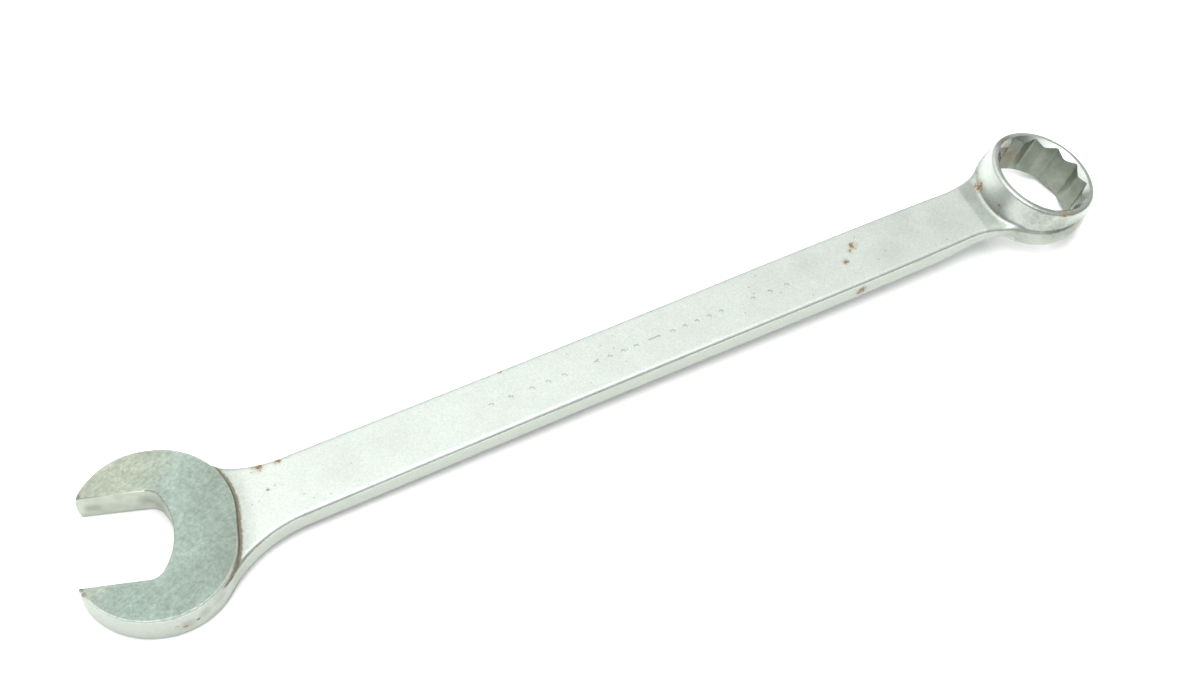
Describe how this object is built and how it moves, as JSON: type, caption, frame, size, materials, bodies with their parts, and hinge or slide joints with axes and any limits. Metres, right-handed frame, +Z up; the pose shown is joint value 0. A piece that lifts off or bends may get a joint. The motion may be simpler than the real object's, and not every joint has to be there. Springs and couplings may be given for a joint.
{
  "type": "combination wrench",
  "caption": "Flat forged wrench with an angled open end and a tilted twelve-point box end, lying on its jaw tips and ring edge.",
  "frame": {"origin": "bottom centre of the bounding box, on the surface that the wrench lies on", "axes": "+X from the open end to the box end, +Z up, +Y to the side that the open end is turned to; the shank rises 0.97 degrees towards +X because the ring reaches lower than the jaws"},
  "size_m": [0.3154, 0.0504, 0.0224],
  "materials": {
    "satin_plate": "satin chrome plate over forged steel, bright, fine grain, small rust pits",
    "ground_face": "flat ground face, plated, with fine random scratches"
  },
  "bodies": {
    "root": {"upper_jaw": "ground_face", "lower_jaw": "ground_face", "throat": "ground_face", "open_end_neck": "satin_plate", "shank": "satin_plate", "box_end_neck": "satin_plate", "box_ring": "satin_plate"}
  },
  "joints": []
}
